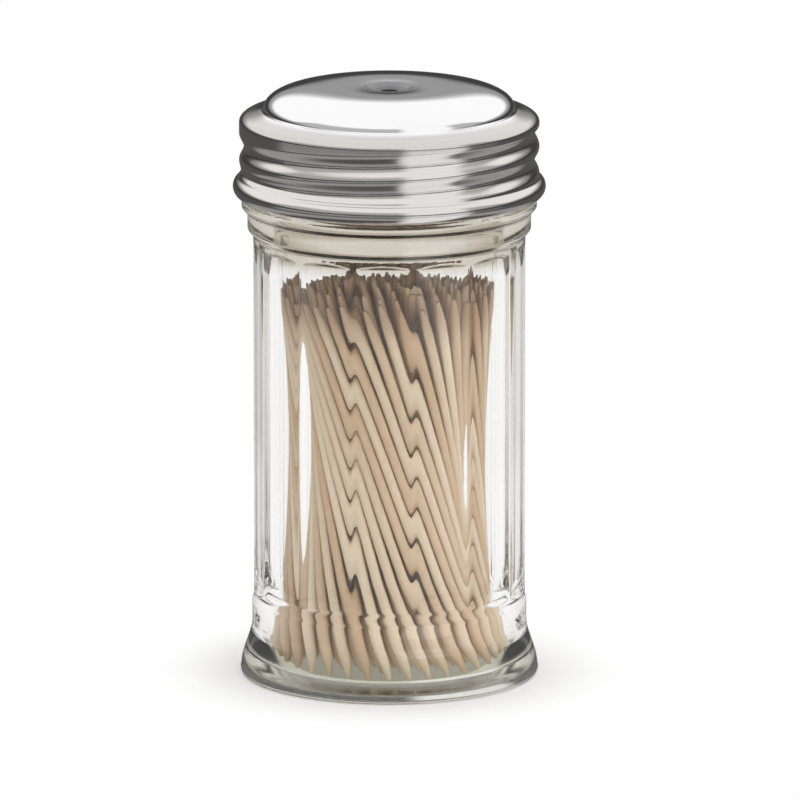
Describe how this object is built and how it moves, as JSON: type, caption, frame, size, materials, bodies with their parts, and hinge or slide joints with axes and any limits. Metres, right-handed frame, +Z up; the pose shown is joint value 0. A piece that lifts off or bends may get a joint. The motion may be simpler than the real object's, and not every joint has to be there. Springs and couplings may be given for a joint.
{
  "type": "toothpick holder",
  "caption": "Clear panelled glass jar with a flared foot and a domed steel screw lid, filled with wooden toothpicks that come out through a hole in the dome.",
  "frame": {"origin": "centre of the foot on the table plane", "axes": "+Z up along the jar's axis to the hole in the lid, -Y towards the viewer in the picture"},
  "size_m": [0.053, 0.053, 0.1016],
  "materials": {
    "clear_glass": "clear, fire-polished",
    "lid_steel": "polished dome, brushed skirt",
    "liner": "soft matte",
    "pale_wood": "bare, tumbled smooth"
  },
  "bodies": {
    "jar": {"glass_jar": "clear_glass", "toothpicks_ring_1": "pale_wood", "toothpicks_ring_2": "pale_wood", "toothpicks_ring_3": "pale_wood", "toothpicks_ring_4": "pale_wood", "toothpicks_ring_5": "pale_wood", "toothpicks_ring_6": "pale_wood", "toothpicks_ring_7": "pale_wood"},
    "liner": {"lid_liner": "liner"},
    "lid": {"screw_lid": "lid_steel"},
    "loose_toothpick": {"middle_toothpick": "pale_wood"}
  },
  "joints": [
    {"name": "lid_turn", "type": "hinge", "parent": "liner", "child": "lid", "pos_m": [0, 0, 0.0972], "axis": [0, 0, 1], "range_deg": [0, 1440]},
    {"name": "lid_rise", "type": "slide", "parent": "jar", "child": "liner", "axis": [0, 0, 1], "range_m": [0, 0.0184]},
    {"name": "toothpick_out", "type": "slide", "parent": "jar", "child": "loose_toothpick", "axis": [0, 0, 1], "range_m": [0, 0.1]}
  ],
  "couplings": [
    {"joint": "lid_rise", "follows": "lid_turn", "m_per_rad": 0.00073211}
  ]
}
